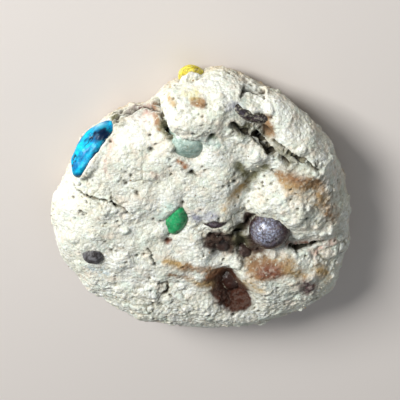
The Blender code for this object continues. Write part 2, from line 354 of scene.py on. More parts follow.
cracks = {
    "back": {"half": 0.60, "deep": 2.1,
             "stops": ((-10.2, 30), (-9.4, 29.2), (-8.6, 27.8), (-6.9, 25.9), (-5, 24.8))},
    "ledge": {"half": 0.34, "deep": 0.8,
              "stops": ((-20.5, 25.6), (-17.8, 26.8), (-14.6, 27.6), (-12.2, 28.4), (-10.4, 28.9))},
    "left": {"half": 0.24, "deep": 0.7,
             "stops": ((-31, 9.4), (-28.8, 8.5), (-25.6, 8), (-22.1, 7.4), (-19.2, 5.7), (-17.4, 4))},
    "ridge": {"half": 0.46, "deep": 1.7,
              "stops": ((7.4, 28.8), (9.6, 27), (12.7, 25.2), (15.8, 22), (18.6, 19.8), (21, 18))},
    "fork": {"half": 0.36, "deep": 1.2, "stops": ((17.4, 23.4), (20.7, 21.5), (24.6, 19.2), (28.4, 16.2))},
    "vale": {"half": 1.7, "deep": 0.6, "ink": 0.0,
             "stops": ((12.4, 27.4), (15.8, 24.2), (20, 20.6), (25, 17.4))},
    "right": {"half": 0.55, "deep": 1.8,
              "stops": ((22.4, -6.4), (24.6, -7.6), (26.6, -7.1), (28.7, -6.5), (30.4, -6.3))},
    "middle": {"half": 0.45, "deep": 1.2, "stops": ((2.5, -2.2), (5, -3), (7.6, -3.2), (9.6, -2.2))},
    "small": {"half": 0.28, "deep": 0.6, "stops": ((-13.4, -6.6), (-12.4, -8), (-12.2, -10), (-11, -11.6))},
    "front": {"half": 0.34, "deep": 0.8,
              "stops": ((-10.4, -17.4), (-8.8, -18.1), (-8.3, -19.6), (-9.3, -21.2))},
    "hat": {"half": 0.32, "deep": 0.9, "stops": ((9.4, 34.6), (10.8, 35), (12.4, 34.4), (14.7, 33.6))},
    "fold": {"half": 1.7, "deep": 0.6, "ink": 0.0,
             "stops": ((16.4, 19), (14.5, 15.6), (11, 11.2), (8.6, 9))},
    "shade": {"half": 0.75, "deep": 1.5, "ink": 0.85, "stops": ((9.6, -3.0), (11.4, -0.6), (13.0, 1.6))},
    "gully": {"half": 1.2, "deep": 1.2, "ink": 0.3, "stops": ((9.4, -1.6), (9.8, -4.6), (10.4, -7))},
}

# Pits of the top: place seen from above, radius and depth

pits = (
    (-2.4, 15.7, 0.85, 1.6), (-1.4, 15.0, 0.6, 0.9), (-12.2, 24.3, 0.5, 0.9), (-11.8, 21.5, 0.6, 1.0),
    (-10.6, 22.6, 0.4, 0.6), (-29.6, 10.3, 0.45, 0.7), (1.0, 33.3, 0.45, 0.6), (-18.1, 12.6, 0.5, 0.7),
    (-15.7, 10.2, 0.45, 0.6), (-17.7, 4.2, 0.6, 1.0), (-29.1, 3.9, 0.5, 0.8), (2.8, 25.6, 0.8, 1.2),
    (-8.1, -4.6, 0.6, 0.9), (-12.6, -20.2, 0.5, 0.8), (9.2, 27.2, 0.8, 1.0), (15.7, 25.9, 1.0, 1.4),
    (7.8, 13.2, 0.5, 0.7),
)

tinyPitSpec = {"count": 70, "reach": 33.0, "sizes": (0.22, 0.42), "depths": (0.4, 0.9), "seed": 21}


def tinyPits(spec):
    draw = random.Random(spec["seed"])
    made = []
    for _ in range(spec["count"]):
        distance, turn = spec["reach"] * math.sqrt(draw.random()), draw.uniform(0, math.tau)
        place = distance * math.cos(turn), distance * math.sin(turn)
        made.append((*place, draw.uniform(*spec["sizes"]), draw.uniform(*spec["depths"])))
    return tuple(made)


# Size, height and seed of each kind of unevenness, then the sizes and seeds of what steers it
surface = {
    "swell": (5.5, 0.18, 2.3), "lumps": (2.4, 0.24, 5.9), "grain": (1.0, 0.32, 9.1),
    "fine": (0.75, 0.16, 14.7), "granule": (1.05, 0.34, 19.3), "pinholes": (1.9, 0.60, 23.1),
    "craze": (4.2, 0.22, 27.7), "underside": (0.9, 0.06, 33.0),
}
steering = {
    "calm": (6.0, 31.0), "porous": (4.5, 40.2), "crazed": (9.0, 44.4),
    "crazeBend": (1.8, (51.0, 52.0, 53.0)), "crackBend": (1.9, (61.0, 62.0)),
    "crackFray": (0.9, (63.0, 64.0)),
    "blotch": (1.4, 71.0), "wideBlotch": (3.2, 72.0), "browning": (9.0, 73.0),
}


def sinkRoundPieces(places):
    # under and round each candy and chip the skin dips, so that the piece shows with a thin shadow round it
    covered = np.zeros(len(places))
    for spec in candies + chips:
        gap = sunkGap(places, spec)
        inner, outer = spec.get("socket", crust["socket"])
        near = gap < outer
        dip = spec.get("dip", crust["dip"]) + 0.25 * noiseField(places[near], 1.6, spec["seed"])
        dip *= 1 - smoothstep(inner, outer, gap[near])
        outward = places[near] - np.array(spec["middle"])
        distance = np.linalg.norm(outward, axis=1)
        for side, limit in spec.get("buried", ()):
            facing = outward @ np.array(side) / spec.get("cutLength", distance)
            facing += spec["ragged"] * noiseField(places[near], 1.5, spec["seed"] + 5)
            dip *= 1 - smoothstep(limit - spec["feather"], limit + spec["feather"], facing)
        places[near] -= outward * (dip / distance)[:, None]
        covered = np.maximum(covered, 1 - smoothstep(0.0, 0.4, sunkGap(places, spec)))
    return covered


def unevenness(places, normals, crumbly):
    # height of the crust's own relief, with masks of its pinholes and hair cracks, and of the painted shade
    # in the seams between granules
    def bumps(kind):
        size, height, seed = surface[kind]
        return height * noiseField(places, size, seed)

    rise = bumps("swell") + crumbly * bumps("lumps") + (0.6 + 0.4 * crumbly) * bumps("fine")
    size, height, seed = surface["grain"]
    rise += crumbly * height * (0.35 - np.abs(noiseField(places, size, seed)))
    size, height, seed = surface["granule"]
    nearest = cellField(places, size, seed)[0]
    rough = 0.25 + 0.40 * smoothstep(-0.25, 0.35, noiseField(places, *steering["calm"]))
    rise += height * np.maximum(rough, crumbly) * (0.55 - nearest)
    seams = smoothstep(0.55, 0.85, nearest) * np.maximum(rough, crumbly)
    size, height, seed = surface["pinholes"]
    porous = smoothstep(0.1, 0.5, noiseField(places, *steering["porous"]))
    pinhole = (1 - smoothstep(0.10, 0.26, cellField(places, size, seed)[0])) * porous
    rise -= height * pinhole
    size, height, seed = surface["craze"]
    nearest, second = cellField(places + 0.6 * wander(places, *steering["crazeBend"]), size, seed)
    crazed = smoothstep(0.05, 0.45, noiseField(places, *steering["crazed"]))
    crazed *= smoothstep(0.3, 0.8, normals[:, 2])
    craze = (1 - smoothstep(0.02, 0.10, second - nearest)) * crazed
    rise -= height * craze
    return rise, pinhole, craze, seams


def cutCracks(places, normals):
    # height of the named cracks, with wavering sides and a raised lip, and of the pits, and the painted
    # shade inside them
    plan = places[:, :2] + 0.55 * wander(places, *steering["crackBend"])
    plan += 0.3 * wander(places, *steering["crackFray"])
    upper = smoothstep(4.0, 7.0, places[:, 2]) * smoothstep(-0.1, 0.3, normals[:, 2])
    rise, dark = np.zeros(len(places)), np.zeros(len(places))
    for crack in cracks.values():
        away = polylineDistance(plan, crack["stops"]) / crack["half"]
        cut = bell(away)
        lip = np.exp(-((away - 2.2) / 1.1) ** 2)
        rise += upper * (0.16 * crack["deep"] * lip - crack["deep"] * cut)
        dark = np.maximum(dark, crack.get("ink", 0.9) * upper * cut**2)
    for x, y, radius, deep in pits + tinyPits(tinyPitSpec):
        cut = bell(np.linalg.norm(plan - np.array((x, y)), axis=1) / radius)
        rise -= upper * deep * cut
        dark = np.maximum(dark, 0.9 * upper * cut**1.5)
    return rise, dark


def shapeSkin(mesh):
    places, normals, edges = meshArrays(mesh)
    places = relaxed(places, edges, 1)
    top = smoothstep(1.0, 3.5, places[:, 2])  # the flat underside keeps its own finer roughness
    covered = sinkRoundPieces(places)
    free = (1 - covered) * top
    crumbly = 0.2 + 0.8 * crumbliness(places)
    rise, pinhole, craze, seams = unevenness(places, normals, crumbly)
    carved, dark = cutCracks(places, normals)
    moved = places + normals * ((rise + carved) * free)[:, None]
    size, height, seed = surface["underside"]
    moved[:, 2] = np.maximum(moved[:, 2] + (1 - top) * height * noiseField(places, size, seed), 0.0)
    setPlaces(mesh, moved)
    # painted shade inside the pinholes
    dark = np.maximum(dark, 0.55 * pinhole * crumbly)
    return dark * (1 - covered), pinhole * free, craze * free, seams * free


# Colours that the oven and the candies left on the dough, with olive painted shade along cracks, valleys and
# the fold: ends, radius, colour and strength

stainColours = {
    "golden": linear(178, 150, 104),
    "toasted": linear(143, 112, 80),
    "burnt": linear(60, 29, 15),
    "orange": linear(150, 104, 72),
    # painted shade along cracks, valleys and the fold
    "olive": linear(104, 102, 76),
    "chocolate": linear(56, 38, 30),
    "plum": linear(100, 76, 78),
    "mint": linear(172, 196, 184),
    "sky": linear(132, 176, 196),
    "rust": linear(116, 74, 56),
    "yellow": linear(210, 202, 130),
    "rose": linear(206, 164, 146),
    "lilac": linear(142, 143, 156),
}

stains = (
    ((19.6, 14.9), (27.4, 12.6), 2.1, "toasted", 1.0),
    ((22, 14.6), (23.4, 14.2), 1.3, "rust", 0.55),
    ((28.2, 10.4), (32.6, 1.6), 2.4, "toasted", 0.60),
    ((21, 12), (28, 8), 3.0, "golden", 0.40),
    ((13.6, -11.6), (21.6, -10.4), 2.8, "golden", 0.55),
    ((14.6, -12.8), (20.2, -11.8), 2.7, "toasted", 1.15),
    ((16.2, -13.2), (19.0, -12.8), 1.9, "rust", 0.95),
    ((22, -12), (26, -15), 1.8, "golden", 0.5),
    ((4.8, -17.6), (7.4, -22.4), 3.6, "burnt", 1.7),
    ((8.2, -21), (9.6, -25), 3.0, "burnt", 1.9),
    ((2.4, -15.4), (5.2, -14.6), 1.6, "orange", 0.85),
    ((-8.6, -9.6), (-3.4, -12.2), 1.4, "golden", 0.75),
    ((-3.6, -12.2), (2.4, -13.4), 1.5, "toasted", 0.75),
    ((-7.6, -15), (-3, -16), 1.3, "toasted", 0.6),
    ((-2.4, -17), (2, -19), 1.4, "golden", 0.5),
    ((12, -17), (15, -19), 1.8, "golden", 0.5),
    ((26.6, -18), (28, -21), 2.4, "plum", 0.75),
    ((30, -13), (32, -18), 2.2, "golden", 0.55),
    ((-5.2, 18.9), (-3.4, 17.2), 0.9, "orange", 0.65),
    ((-11.0, 29.0), (-9.8, 26.8), 1.0, "toasted", 1.0),
    ((-8.8, 27.0), (-6, 24.2), 1.1, "olive", 0.85),
    ((-7.4, 33.6), (-6.4, 33), 1.0, "golden", 0.7),
    ((-1.6, 33.8), (0.4, 33.6), 1.0, "toasted", 0.9),
    ((-12, 28.5), (-17.8, 26.9), 1.1, "plum", 0.6),
    ((-21, 25.6), (-19, 26.4), 1.3, "olive", 0.8),
    ((-7.2, 6.2), (-9.4, 3.0), 2.2, "mint", 0.55),
    ((-8.2, -4.8), (-7.8, -4.4), 0.9, "rust", 0.9),
    ((-30.4, 11.6), (-28.8, 10.2), 1.5, "sky", 0.30),
    ((-28.2, -13), (-24, -14.6), 2.0, "sky", 0.25),
    ((-1.4, 3.2), (2.8, 3.4), 2.2, "lilac", 0.60),
    ((3.8, -4.4), (6.6, -5.6), 3.6, "chocolate", 1.0),
    ((11.2, -6.2), (13.2, -7.2), 3.4, "chocolate", 1.0),
    ((10.4, -2.0), (11.8, 1.6), 1.5, "chocolate", 0.85),
    ((9.2, -2), (10.2, -7), 1.5, "olive", 0.9),
    ((15.4, 16.6), (10.6, 10.8), 1.4, "olive", 0.7),
    ((8.9, 17.2), (11, 14.3), 1.4, "olive", 0.75),
    ((8.8, 27.6), (10, 27), 1.6, "olive", 0.9),
    ((2.6, 25.7), (3, 25.7), 1.0, "olive", 0.9),
    ((12, 26), (22, 18.4), 2.2, "olive", 0.45),
    ((18, 22.6), (27, 17.4), 1.0, "olive", 0.35),
    ((7, 32.8), (9.4, 32.2), 1.3, "lilac", 0.55),
    ((15.6, 29.6), (16.4, 25.4), 1.4, "toasted", 1.0),
    ((10.4, 33.4), (11.4, 33.4), 1.2, "mint", 0.3),
    ((0, 24.4), (3.5, 23.6), 2.0, "mint", 0.45),
    ((-4, 35), (-1, 35.2), 1.0, "yellow", 0.4),
    ((-23, 16), (-21, 22), 1.2, "rose", 0.35),
    ((-14, 26), (-12, 28), 1.3, "rose", 0.30),
    ((-10, 14), (-12, 17), 1.3, "rose", 0.25),
    ((6, 5.6), (10, 10.4), 1.8, "golden", 0.60),
    ((21.8, -5.4), (27, -6.4), 1.4, "rust", 0.5),
    ((29, -9), (33, -7), 1.6, "rose", 0.5),
)


def stainLayers(places, upper, blotch):
    # each stain laid over the earlier ones, with how much of it covers the dough in the colour's alpha
    colours = np.zeros((len(places), 4))
    colours[:, :3] = stainColours["golden"][:3]
    solid = np.zeros(len(places))
    for start, end, radius, colour, strength in stains:
        away = segmentDistance(places[:, :2], start, end) / radius
        amount = 1.35 * upper * strength * bell(away) * (0.3 + 1.4 * blotch)
        if colour in ("burnt", "chocolate"):
            solid = np.maximum(solid, smoothstep(0.35, 0.8, amount))
        amount = np.clip(amount, 0, 1)[:, None]
        kept = colours[:, 3:] * (1 - amount)
        tint = np.array(stainColours[colour][:3])
        colours[:, :3] = (colours[:, :3] * kept + tint * amount) / np.maximum(kept + amount, 1e-6)
        colours[:, 3:] = kept + amount
    return colours, solid


def paintSkin(mesh, dark, pinhole, craze, seams):
    places, normals, edges = meshArrays(mesh)
    wide = np.einsum("ij,ij->i", relaxed(places, edges, 26, 0.6) - places, normals)
    narrow = np.einsum("ij,ij->i", relaxed(places, edges, 4, 0.6) - places, normals)
    hollow = smoothstep(0.06, 0.55, wide)
    proud = smoothstep(0.10, 0.42, -wide)
    upper = smoothstep(4.0, 7.0, places[:, 2]) * smoothstep(-0.2, 0.2, normals[:, 2])
    blotch = 0.5 + 0.35 * noiseField(places, *steering["blotch"])
    blotch += 0.35 * noiseField(places, *steering["wideBlotch"])
    broad = 0.5 + 0.5 * noiseField(places, *steering["browning"])
    side = 1 - smoothstep(2.0, 9.0, places[:, 2])
    colours, solid = stainLayers(places, upper, blotch)
    addColours(mesh, "stain", colours)
    # deep: painted shade inside cracks, pits and pinholes
    addMasks(mesh, solid=solid, seam=seams, deep=dark,
             hollow=np.maximum(hollow, np.maximum(0.8 * pinhole, 0.6 * craze)),
             crevice=smoothstep(0.02, 0.13, narrow) * (0.45 + 0.55 * crumbliness(places)),
             toast=0.55 * proud * smoothstep(0.45, 0.8, broad) + 0.75 * side * (0.6 + 0.4 * blotch),
             under=1 - smoothstep(0.2, 1.6, places[:, 2]))


skinMesh = drawSkin()
print("skin drawn:", len(skinMesh.polygons), "faces")
paintSkin(skinMesh, *shapeSkin(skinMesh))
skinMesh.shade_smooth()
doughPiece = makePiece("doughCrust", skinMesh, "dough")
print("dough shaped")


# Candies and chips: finer balls at their solids' sizes, dented, wrinkled and split by the oven

skinPlaces = [vertex.co[:] for vertex in skinMesh.vertices]
skinTree = BVHTree.FromPolygons(skinPlaces, [face.vertices[:] for face in skinMesh.polygons])

frostSide = (-0.30, 0.45, 0.84)  # the lit side, where the shells whitened with bloom and get a painted sheen


def doughDistance(places):
    return np.array([skinTree.find_nearest(Vector(place) * mm)[3] / mm for place in places])


def edgeShade(local, axes, spec):
    # painted shade on a candy where the dough closes over it, darkest next to the dough
    edge = np.zeros(len(local))
    for side, limit in spec.get("buried", ()):
        towards = (local @ axes.T) @ np.array(side) / spec.get("cutLength", np.linalg.norm(local, axis=1))
        towards += 0.12 * noiseField(local, 1.1, spec["seed"] + 11)
        edge = np.maximum(edge, smoothstep(limit - 0.40, limit, towards))
    return edge


def spots(local, spec, label):
    amount = np.zeros(len(local))
    for spot, radius, strength in spec.get(label, ()):
        away = np.linalg.norm(local - np.array(spot), axis=1) / radius
        away += 0.35 * noiseField(local, 0.8, spec["seed"] + 12)
        amount = np.maximum(amount, strength * bell(away))
    return amount


def shapeCandy(spec):
    ball, faces = ballShape(5)
    half, axes = np.array(spec["halfSizes"]), np.array(spec["axes"])
    local = ball * half
    outward = ball / half
    outward /= np.linalg.norm(outward, axis=1)[:, None]
    seed, dent = spec["seed"], spec["dent"]
    wrinkle = noiseField(local * (0.30, 1.0, 1.0), 0.75, seed + 2)
    rise = dent * noiseField(local, 3.2, seed) + 0.35 * dent * noiseField(local, 1.3, seed + 1)
    rise += 0.25 * dent * wrinkle
    warped = local + 0.35 * wander(local, 0.9, (seed + 3, seed + 4, seed + 5))
    nearest, second = cellField(warped * (0.5, 1.0, 1.0), spec["crackSize"], seed + 6)
    torn = smoothstep(-0.15, 0.25, noiseField(local, 3.0, seed + 7))
    split = (1 - smoothstep(0.35 * spec["crackWidth"], spec["crackWidth"], second - nearest)) * torn
    rise -= 0.16 * split
    places = (local + outward * (rise - 0.04)[:, None]) @ axes.T + np.array(spec["middle"])
    mesh = joinedMesh(spec["name"], [(places, faces)])
    mesh.shade_smooth()
    # whitened bloom and painted sheen, on the side of a shell towards the light
    frosted = (outward @ axes.T) @ np.array(frostSide) + 0.16 * noiseField(local, 1.1, seed + 10)
    # smear: where the shell touches the dough, for a smear of dough and a painted contact shadow
    touching = doughDistance(places) + 0.10 * noiseField(local, 0.8, seed + 9)
    addMasks(mesh, split=split, streak=smoothstep(0.05, 0.40, wrinkle), edge=edgeShade(local, axes, spec),
             wash=smoothstep(0.35, 0.75, 0.5 + 0.5 * noiseField(local, 2.2, seed + 8)),
             smear=1 - smoothstep(0.04, 0.22, touching), frost=smoothstep(0.55, 1.0, frosted),
             blots=spots(local, spec, "blots"), caps=spots(local, spec, "caps"))
    return makePiece(spec["name"], mesh, spec["node"])


def shapeChip(spec):
    ball, faces = ballShape(4)
    half, axes = np.array(spec["halfSizes"]), np.array(spec["axes"])
    local = ball * half
    rise = 1 + 0.10 * noiseField(local, 2.0, spec["seed"]) + 0.09 * noiseField(local, 0.9, spec["seed"] + 1)
    places = (local * rise[:, None]) @ axes.T + np.array(spec["middle"])
    mesh = joinedMesh(spec["name"], [(places, faces)])
    mesh.shade_smooth()
    touching = doughDistance(places) + 0.12 * noiseField(local, 0.7, 3.0)
    addMasks(mesh, smear=1 - smoothstep(0.03, 0.20, touching))
    return makePiece(spec["name"], mesh, spec["node"])


candyPieces = {spec["name"]: shapeCandy(spec) for spec in candies}
chipPieces = {spec["name"]: shapeChip(spec) for spec in chips}
print("candies and chips shaped")


# Loose crumbs that lie on the crust, but not on the burnt and chocolate spots

looseCrumbs = {"count": 260, "sizes": (0.12, 0.32), "lowest": 7.0, "steepest": 0.45, "seed": 5}


def scatterCrumbs(spec):
    draw = random.Random(spec["seed"])
    places, normals, _ = meshArrays(skinMesh)
    burnt = np.empty(len(places))
    skinMesh.attributes["solid"].data.foreach_get("value", burnt)
    clear = (places[:, 2] > spec["lowest"]) & (normals[:, 2] > spec["steepest"]) & (burnt < 0.2)
    free = np.flatnonzero(clear)
    ball, faces = ballShape(2)
    small, large = spec["sizes"]
    made = []
    while len(made) < spec["count"]:
        spot = free[draw.randrange(len(free))]
        if insideAnySunk(Vector(places[spot]), 0.3):
            continue
        size = small * (large / small) ** (draw.random() ** 1.8)
        shares = draw.uniform(0.8, 1.3), draw.uniform(0.6, 1.0), draw.uniform(0.4, 0.7)
        halfSizes = size * np.array(shares)
        rough = 1 + 0.8 * noiseField(ball, 0.7, draw.uniform(0, 90))
        turn = Euler([draw.uniform(0, math.tau) for _ in range(3)]).to_matrix()
        rest = places[spot] + normals[spot] * size * 0.2
        made.append(((ball * rough[:, None] * halfSizes) @ np.array(turn).T + rest, faces))
    return makePiece("looseCrumbs", joinedMesh("looseCrumbs", made))


crumbPiece = scatterCrumbs(looseCrumbs)
print("crumbs scattered")


# Node helpers

def newMaterial(name):
    material = bpy.data.materials.new(name)
    material.use_nodes = True
    return material, material.node_tree, material.node_tree.nodes["Principled BSDF"]


def newNode(tree, kind, inputs=None, **settings):
    node = tree.nodes.new(kind)
    for name, value in settings.items():
        setattr(node, name, value)
    fill(tree, node, inputs or {})
    return node


def feed(tree, socket, value):
    # a socket takes a link or a plain value
    if isinstance(value, bpy.types.NodeSocket):
        tree.links.new(value, socket)
    else:
        socket.default_value = value


def fill(tree, node, inputs):
    for label, value in inputs.items():
        feed(tree, node.inputs[label], value)


def mixColours(tree, factor, low, high):
    return newNode(tree, "ShaderNodeMix", {0: factor, 6: low, 7: high}, data_type="RGBA").outputs[2]


def doMath(tree, operation, *values, clamp=False):
    node = newNode(tree, "ShaderNodeMath", dict(enumerate(values)), operation=operation, use_clamp=clamp)
    return node.outputs[0]


def times(tree, first, second):
    return doMath(tree, "MULTIPLY", first, second)


def tinted(tree, colour, tint, amount, strength=1.0):
    # the colour with a tint over it where amount is high
    return mixColours(tree, amount if strength == 1.0 else times(tree, amount, strength), colour, tint)


def ramp(tree, value, low, high):
    # 0 below low, 1 above high
    return newNode(tree, "ShaderNodeMapRange", {"Value": value, "From Min": low, "From Max": high},
                   interpolation_type="SMOOTHSTEP").outputs["Result"]


def mask(tree, name):
    return newNode(tree, "ShaderNodeAttribute", attribute_name=name).outputs["Fac"]


def noiseOf(tree, size, detail=3.0, rough=0.55):
    # noise with lumps of that many millimetres
    coordinates = newNode(tree, "ShaderNodeTexCoord").outputs["Object"]
    return newNode(tree, "ShaderNodeTexNoise", {
        "Vector": coordinates, "Scale": 1 / (size * mm), "Detail": detail, "Roughness": rough,
    }).outputs["Fac"]


def bumped(tree, shader, *layers):
    # heights with their strength and distance, from the finest to the coarsest, in the shader's normal
    normal = shader.inputs["Normal"]
    for height, strength, distance in reversed(layers):
        bump = newNode(tree, "ShaderNodeBump", {
            "Height": height, "Strength": strength, "Distance": distance * mm,
        })
        feed(tree, normal, bump.outputs["Normal"])
        normal = bump.inputs["Normal"]


def newGroup(name, inputs, outputs):
    # inputs: socket name to its value, outputs: names, all of them plain numbers
    group = bpy.data.node_groups.new(name, "ShaderNodeTree")
    for label, value in inputs.items():
        socket = group.interface.new_socket(label, in_out="INPUT", socket_type="NodeSocketFloat")
        socket.default_value = value
    for label in outputs:
        group.interface.new_socket(label, in_out="OUTPUT", socket_type="NodeSocketFloat")
    return group, group.nodes.new("NodeGroupInput").outputs, group.nodes.new("NodeGroupOutput").inputs


def placeGroup(tree, group, **values):
    node = newNode(tree, "ShaderNodeGroup", node_tree=group)
    fill(tree, node, values)
    return node.outputs


def bentCoordinates(tree, scale, reach):
    # the object's coordinates, and the same wandering by about reach
    straight = newNode(tree, "ShaderNodeTexCoord").outputs["Object"]
    drift = newNode(tree, "ShaderNodeTexNoise", {"Vector": straight, "Scale": scale, "Detail": 2.0})
    bent = newNode(tree, "ShaderNodeVectorMath", {0: drift.outputs["Color"], "Scale": reach},
                   operation="SCALE")
    moved = newNode(tree, "ShaderNodeVectorMath", {0: straight, 1: bent.outputs[0]}, operation="ADD")
    return straight, moved.outputs[0]


# Shared effects

def buildCrumbGrain():
    # a dry baked grain: its height, each grain's own tone, painted shade in the seams between grains, and
    # dark specks of painted shadow between crumbs
    inputs = {"Size": 0.5, "Specks": 0.5}
    group, given, put = newGroup("crumbGrain", inputs, ("Height", "Tone", "Seam", "Speck"))
    scale = doMath(group, "DIVIDE", 1 / mm, given["Size"])
    straight, moved = bentCoordinates(group, scale, times(group, given["Size"], 0.9 * mm))
    coarse = newNode(group, "ShaderNodeTexNoise", {
        "Vector": straight, "Scale": scale, "Detail": 5.0, "Roughness": 0.65,
    }).outputs["Fac"]
    cells = newNode(group, "ShaderNodeTexVoronoi", {"Vector": moved, "Scale": scale})
    tone = newNode(group, "ShaderNodeSeparateColor", {"Color": cells.outputs["Color"]}).outputs["Red"]
    feed(group, put["Tone"], tone)
    feed(group, put["Seam"], ramp(group, cells.outputs["Distance"], 0.35, 0.75))
    height = doMath(group, "MULTIPLY_ADD", cells.outputs["Distance"], -0.8, coarse)
    feed(group, put["Height"], doMath(group, "MULTIPLY_ADD", tone, 0.25, height))
    threshold = doMath(group, "SUBTRACT", 0.74, times(group, given["Specks"], 0.22))
    speck = doMath(group, "SUBTRACT", coarse, threshold)
    feed(group, put["Speck"], doMath(group, "MULTIPLY", speck, 9.0, clamp=True))
    return group


def buildSugarCrackle():
    # hair cracks and mottling of a baked sugar shell
    inputs = {"Size": 1.0, "Width": 0.04}
    group, given, put = newGroup("sugarCrackle", inputs, ("Crackle", "Mottle", "Height"))
    scale = doMath(group, "DIVIDE", 1 / mm, given["Size"])
    straight, moved = bentCoordinates(group, 2.5 / mm, 0.25 * mm)
    edge = newNode(group, "ShaderNodeTexVoronoi", {"Vector": moved, "Scale": scale},
                   feature="DISTANCE_TO_EDGE").outputs["Distance"]
    line = doMath(group, "SUBTRACT", 1.0, doMath(group, "DIVIDE", edge, given["Width"]), clamp=True)
    mottle = newNode(group, "ShaderNodeTexNoise", {
        "Vector": straight, "Scale": times(group, scale, 0.7), "Detail": 5.0, "Roughness": 0.6,
    }).outputs["Fac"]
    feed(group, put["Crackle"], line)
    feed(group, put["Mottle"], mottle)
    feed(group, put["Height"], doMath(group, "SUBTRACT", times(group, mottle, 0.4), line))
    return group


crumbGrain = buildCrumbGrain()
sugarCrackle = buildSugarCrackle()


# Materials

doughLook = {
    "pale": linear(232, 235, 230), "cream": linear(214, 217, 203), "tan": linear(188, 185, 163),
    "golden": linear(178, 146, 98), "shadow": linear(112, 103, 78), "deep": linear(28, 19, 13),
    "speck": linear(78, 60, 38), "under": linear(168, 124, 76), "rosy": linear(226, 210, 192),
    "minty": linear(206, 220, 208), "roughness": 0.80, "grainSize": 0.85, "dustSize": 0.34,
    # how much of each tint shows where its mask is full
    "amounts": {"cream": 0.75, "tone": 0.45, "seam": 0.30, "granule": 0.60, "speck": 0.45, "dust": 0.16,
                "crevice": 0.55, "hue": 0.50, "hollow": 0.72, "solid": 0.96, "under": 0.85, "deep": 0.92},
}


def doughMaterial(look):
    material, tree, shader = newMaterial("bakedDough")
    grain = placeGroup(tree, crumbGrain, Size=look["grainSize"], Specks=0.42)
    dust = placeGroup(tree, crumbGrain, Size=look["dustSize"], Specks=0.30)
    amounts = look["amounts"]
    patches = ramp(tree, noiseOf(tree, 7.0, 4.0, 0.6), 0.36, 0.66)
    colour = tinted(tree, look["pale"], look["cream"], patches, amounts["cream"])
    colour = tinted(tree, colour, look["tan"], ramp(tree, grain["Tone"], 0.35, 1.0), amounts["tone"])
    # painted shade in the seams between grains and granules
    fineSeams = times(tree, grain["Seam"], amounts["seam"])
    granuleSeams = times(tree, mask(tree, "seam"), amounts["granule"])
    colour = tinted(tree, colour, look["tan"], doMath(tree, "MAXIMUM", fineSeams, granuleSeams))
    # dark specks of painted shadow between crumbs
    colour = tinted(tree, colour, look["speck"], grain["Speck"], amounts["speck"])
    colour = tinted(tree, colour, look["shadow"], dust["Seam"], amounts["dust"])
    colour = tinted(tree, colour, look["shadow"], mask(tree, "crevice"), amounts["crevice"])
    for size, tint in ((3.4, look["rosy"]), (2.7, look["minty"])):
        colour = tinted(tree, colour, tint, ramp(tree, noiseOf(tree, size), 0.50, 0.70), amounts["hue"])
    toast = times(tree, mask(tree, "toast"), ramp(tree, noiseOf(tree, 1.6, 4.0, 0.6), 0.25, 0.62))
    colour = tinted(tree, colour, look["golden"], toast)
    colour = tinted(tree, colour, look["shadow"], mask(tree, "hollow"), amounts["hollow"])

    # stains break up with the grain, apart from the burnt and chocolate ones
    stain = newNode(tree, "ShaderNodeAttribute", attribute_name="stain")
    broken = ramp(tree, noiseOf(tree, 0.9, 4.0, 0.65), 0.30, 0.62)
    amount = doMath(tree, "MULTIPLY_ADD", stain.outputs["Alpha"], 1.32, -0.05)
    amount = doMath(tree, "MULTIPLY_ADD", broken, -0.38, amount)
    amount = doMath(tree, "MULTIPLY_ADD", ramp(tree, grain["Tone"], 0.55, 0.95), -0.22, amount, clamp=True)
    amount = doMath(tree, "MAXIMUM", amount, times(tree, mask(tree, "solid"), amounts["solid"]))
    colour = tinted(tree, colour, stain.outputs["Color"], amount)
    colour = tinted(tree, colour, look["under"], mask(tree, "under"), amounts["under"])
    # painted shade, near black, inside cracks, pits and pinholes
    colour = tinted(tree, colour, look["deep"], mask(tree, "deep"), amounts["deep"])
    bumped(tree, shader, (dust["Height"], 0.6, 0.12), (grain["Height"], 0.8, 0.30))
    fill(tree, shader, {
        "Base Color": colour,
        "Roughness": doMath(tree, "MULTIPLY_ADD", grain["Height"], 0.15, look["roughness"]),
        "Specular IOR Level": 0.25, "Subsurface Weight": 0.05,
        "Subsurface Radius": (1.0, 0.7, 0.4), "Subsurface Scale": 0.7 * mm,
    })
    return material
